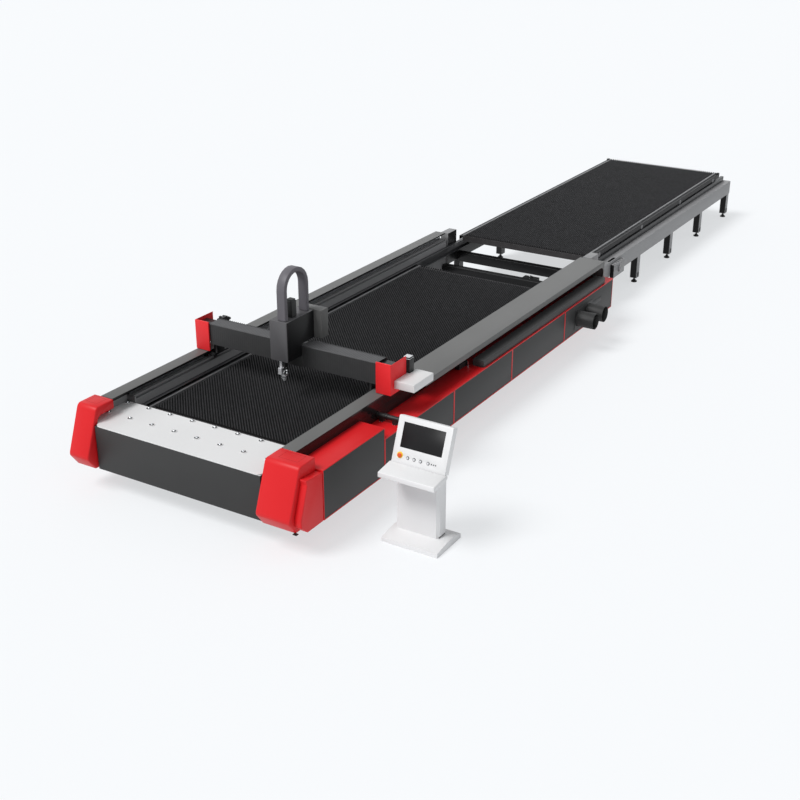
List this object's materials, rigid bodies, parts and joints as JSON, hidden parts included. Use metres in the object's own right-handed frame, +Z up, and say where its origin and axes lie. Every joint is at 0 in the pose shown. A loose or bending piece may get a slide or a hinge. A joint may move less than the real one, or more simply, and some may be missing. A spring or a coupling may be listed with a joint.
{
  "type": "fiber laser cutting machine",
  "caption": "Flat-bed fiber laser cutting machine: open bed with a bellows gantry and cutting head, a two-level shuttle table on a long exchange frame, and a console stand.",
  "frame": {"origin": "centre of the whole machine's box, on the floor", "axes": "+Z up, +Y from the front panel to the far end of the exchange frame, +X towards the console"},
  "size_m": [4.2396, 14.692, 2.286],
  "materials": {
    "red": "satin powder coat",
    "stop_red": "glossy moulded plastic",
    "dark_grey": "satin powder coat",
    "mid_grey": "satin powder coat",
    "light_grey": "satin powder coat",
    "white": "satin powder coat",
    "black": "satin powder coat",
    "bright_steel": "ground",
    "slat_steel": "mill scale, laser cut edges",
    "bellows_fabric": "coated pleated fabric",
    "screen_glass": "dark gloss"
  },
  "bodies": {
    "root": {"bed_beam_left": "black", "bed_beam_right": "black", "table_channel_left": "black", "table_channel_right": "black", "linear_rail_left": "bright_steel", "linear_rail_right": "bright_steel", "bed_cross_front": "black", "bed_cross_rear": "black", "front_panel": "dark_grey", "ball_transfer_plate": "white", "corner_block_left": "red", "corner_block_right": "red", "side_guard": "red", "near_cabinet": "red", "near_cabinet_panel": "dark_grey", "far_cabinet": "red", "far_cabinet_panel_1": "dark_grey", "far_cabinet_panel_2": "dark_grey", "far_cabinet_panel_3": "dark_grey", "far_cabinet_panel_4": "dark_grey", "rail_cover_left": "mid_grey", "rail_cover_right": "mid_grey", "chain_tray": "black", "extraction_ducts": "black", "exchange_frame_left": "light_grey", "exchange_frame_right": "light_grey", "exchange_cross_near": "black", "exchange_cross_far": "black", "exchange_drive": "light_grey", "console_stand": "white", "console_head": "white", "console_screen": "screen_glass", "console_shelf": "white"},
    "gantry": {"gantry_beam": "light_grey", "gantry_cap_left": "red", "gantry_cap_right": "red", "gantry_arm_left": "light_grey", "gantry_arm_right": "light_grey", "gantry_motor_left": "black", "gantry_motor_right": "black", "junction_box": "white", "bellows_left": "bellows_fabric", "bellows_right": "bellows_fabric"},
    "pinion_left": {"pinion_left": "bright_steel"},
    "pinion_right": {"pinion_right": "bright_steel"},
    "carriage": {"carriage_saddle": "dark_grey", "head_housing": "dark_grey", "head_front_cover": "mid_grey", "head_rear_cover": "dark_grey", "hose_arch": "dark_grey", "z_motor": "black"},
    "cutting_head": {"cutting_head": "bright_steel"},
    "lower_table": {"lower_table": "slat_steel"},
    "upper_table": {"upper_table": "slat_steel"},
    "drive_shaft": {"drive_shaft": "bright_steel"},
    "button_1": {"button_1": "bright_steel"},
    "button_2": {"button_2": "bright_steel"},
    "button_3": {"button_3": "bright_steel"},
    "button_4": {"button_4": "bright_steel"},
    "emergency_stop": {"emergency_stop": "stop_red"}
  },
  "joints": [
    {"name": "gantry_travel", "type": "slide", "parent": "root", "child": "gantry", "axis": [0, 1, 0], "range_m": [-1, 4.95]},
    {"name": "pinion_left_turn", "type": "hinge", "parent": "gantry", "child": "pinion_left", "pos_m": [-1.86345, -5.06, 0.861], "axis": [0, 0, 1], "continuous": true},
    {"name": "pinion_right_turn", "type": "hinge", "parent": "gantry", "child": "pinion_right", "pos_m": [0.49295, -5.06, 0.861], "axis": [0, 0, 1], "continuous": true},
    {"name": "carriage_travel", "type": "slide", "parent": "gantry", "child": "carriage", "axis": [1, 0, 0], "range_m": [-0.95, 0.8], "deforming": ["bellows_left", "bellows_right"]},
    {"name": "head_lift", "type": "slide", "parent": "carriage", "child": "cutting_head", "axis": [0, 0, 1], "range_m": [-0.065, 0.05]},
    {"name": "upper_table_shuttle", "type": "slide", "parent": "root", "child": "upper_table", "axis": [0, -1, 0], "range_m": [0, 7.44]},
    {"name": "lower_table_shuttle", "type": "slide", "parent": "root", "child": "lower_table", "axis": [0, 1, 0], "range_m": [0, 7.44]},
    {"name": "drive_shaft_turn", "type": "hinge", "parent": "root", "child": "drive_shaft", "pos_m": [-0.68525, 1.717, 0.585], "axis": [1, 0, 0], "continuous": true},
    {"name": "button_1_press", "type": "slide", "parent": "root", "child": "button_1", "axis": [0, 0.9343, -0.3565], "range_m": [0, 0.004], "stiffness_N_per_m": 600},
    {"name": "button_2_press", "type": "slide", "parent": "root", "child": "button_2", "axis": [0, 0.9343, -0.3565], "range_m": [0, 0.004], "stiffness_N_per_m": 600},
    {"name": "button_3_press", "type": "slide", "parent": "root", "child": "button_3", "axis": [0, 0.9343, -0.3565], "range_m": [0, 0.004], "stiffness_N_per_m": 600},
    {"name": "button_4_press", "type": "slide", "parent": "root", "child": "button_4", "axis": [0, 0.9343, -0.3565], "range_m": [0, 0.004], "stiffness_N_per_m": 600},
    {"name": "emergency_stop_press", "type": "slide", "parent": "root", "child": "emergency_stop", "axis": [0, 0.9343, -0.3565], "range_m": [0, 0.006], "stiffness_N_per_m": 800}
  ],
  "couplings": [
    {"joint": "pinion_left_turn", "follows": "gantry_travel", "rad_per_m": 46.512},
    {"joint": "pinion_right_turn", "follows": "gantry_travel", "rad_per_m": -46.512},
    {"joint": "lower_table_shuttle", "follows": "upper_table_shuttle", "ratio": 1},
    {"joint": "drive_shaft_turn", "follows": "upper_table_shuttle", "rad_per_m": 30.303}
  ]
}
